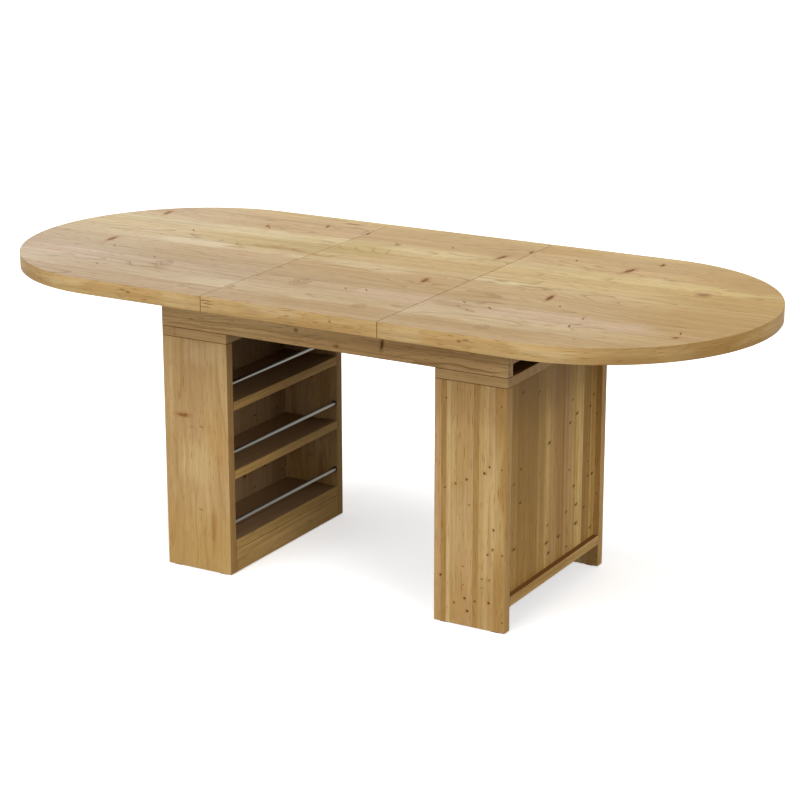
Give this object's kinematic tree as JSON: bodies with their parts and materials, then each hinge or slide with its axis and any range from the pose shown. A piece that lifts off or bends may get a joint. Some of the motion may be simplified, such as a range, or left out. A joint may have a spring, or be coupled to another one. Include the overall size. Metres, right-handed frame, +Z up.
{
  "type": "extending dining table",
  "caption": "Dining table with rounded ends that pulls apart for a loose leaf, on two open shelf cabinets with steel guard rails joined by an apron box.",
  "frame": {"origin": "on the floor, under the middle of the table", "axes": "+X along the table's length, +Y across it to the rear, +Z up"},
  "size_m": [1.984, 0.886, 0.762],
  "materials": {
    "top_wood": "knotty pale wood, satin lacquer, grain along the table",
    "edging_wood": "same wood, grain along the edge, satin lacquer",
    "cabinet_wood": "edge-glued staves, vertical grain with pin knots, satin lacquer",
    "apron_wood": "grain along the apron, satin lacquer",
    "frame_wood": "planed, unfinished",
    "guard_rail_steel": "satin",
    "slide_aluminium": "mill finish",
    "lock_steel": "zinc plated",
    "zinc_steel": "zinc plated",
    "black_plastic": "moulded",
    "spline_wood": "planed hardwood, glued in"
  },
  "bodies": {
    "base": {"cabinet_bolts": "zinc_steel", "fixing_blocks": "frame_wood", "floor_pads": "black_plastic", "front_apron": "apron_wood", "front_slide_track": "slide_aluminium", "left_back_panel": "cabinet_wood", "left_bottom_board": "cabinet_wood", "left_end_rail": "apron_wood", "left_front_panel": "cabinet_wood", "left_inner_bearer": "frame_wood", "left_lower_rail": "guard_rail_steel", "left_middle_rail": "guard_rail_steel", "left_middle_shelf": "cabinet_wood", "left_outer_bearer": "frame_wood", "left_plinth": "cabinet_wood", "left_rear_panel": "cabinet_wood", "left_top_board": "cabinet_wood", "left_upper_rail": "guard_rail_steel", "left_upper_shelf": "cabinet_wood", "panel_splines": "spline_wood", "rear_apron": "apron_wood", "rear_slide_track": "slide_aluminium", "right_back_panel": "cabinet_wood", "right_bottom_board": "cabinet_wood", "right_end_rail": "apron_wood", "right_front_panel": "cabinet_wood", "right_inner_bearer": "frame_wood", "right_lower_rail": "guard_rail_steel", "right_middle_rail": "guard_rail_steel", "right_middle_shelf": "cabinet_wood", "right_outer_bearer": "frame_wood", "right_plinth": "cabinet_wood", "right_rear_panel": "cabinet_wood", "right_top_board": "cabinet_wood", "right_upper_rail": "guard_rail_steel", "right_upper_shelf": "cabinet_wood", "track_end_caps": "black_plastic"},
    "left_half": {"left_front_runner": "slide_aluminium", "left_lock_plates": "lock_steel", "left_rear_runner": "slide_aluminium", "left_runner_shoes": "black_plastic", "left_top_edging": "edging_wood", "left_top_panel": "top_wood"},
    "right_half": {"right_front_runner": "slide_aluminium", "right_lock_plates": "lock_steel", "right_rear_runner": "slide_aluminium", "right_runner_shoes": "black_plastic", "right_top_edging": "edging_wood", "right_top_panel": "top_wood"},
    "leaf": {"leaf_catch_pins": "lock_steel", "leaf_catch_plates": "lock_steel", "leaf_front_edging": "edging_wood", "leaf_panel": "top_wood", "leaf_rear_edging": "edging_wood"},
    "left_front_lock": {"left_front_lock_lever": "lock_steel"},
    "left_rear_lock": {"left_rear_lock_lever": "lock_steel"},
    "right_front_lock": {"right_front_lock_lever": "lock_steel"},
    "right_rear_lock": {"right_rear_lock_lever": "lock_steel"}
  },
  "joints": [
    {"name": "left_half_slide", "type": "slide", "parent": "base", "child": "left_half", "axis": [-1, 0, 0], "range_m": [0, 0.04]},
    {"name": "right_half_slide", "type": "slide", "parent": "base", "child": "right_half", "axis": [1, 0, 0], "range_m": [0, 0.04]},
    {"name": "leaf_lift", "type": "slide", "parent": "base", "child": "leaf", "axis": [0, 0, 1], "range_m": [0, 0.3]},
    {"name": "left_front_lock_turn", "type": "hinge", "parent": "left_half", "child": "left_front_lock", "pos_m": [-0.259, -0.355, 0.719], "axis": [0, 0, -1], "range_deg": [0, 90]},
    {"name": "left_rear_lock_turn", "type": "hinge", "parent": "left_half", "child": "left_rear_lock", "pos_m": [-0.259, 0.355, 0.719], "axis": [0, 0, 1], "range_deg": [0, 90]},
    {"name": "right_front_lock_turn", "type": "hinge", "parent": "right_half", "child": "right_front_lock", "pos_m": [0.259, -0.355, 0.719], "axis": [0, 0, 1], "range_deg": [0, 90]},
    {"name": "right_rear_lock_turn", "type": "hinge", "parent": "right_half", "child": "right_rear_lock", "pos_m": [0.259, 0.355, 0.719], "axis": [0, 0, -1], "range_deg": [0, 90]}
  ]
}
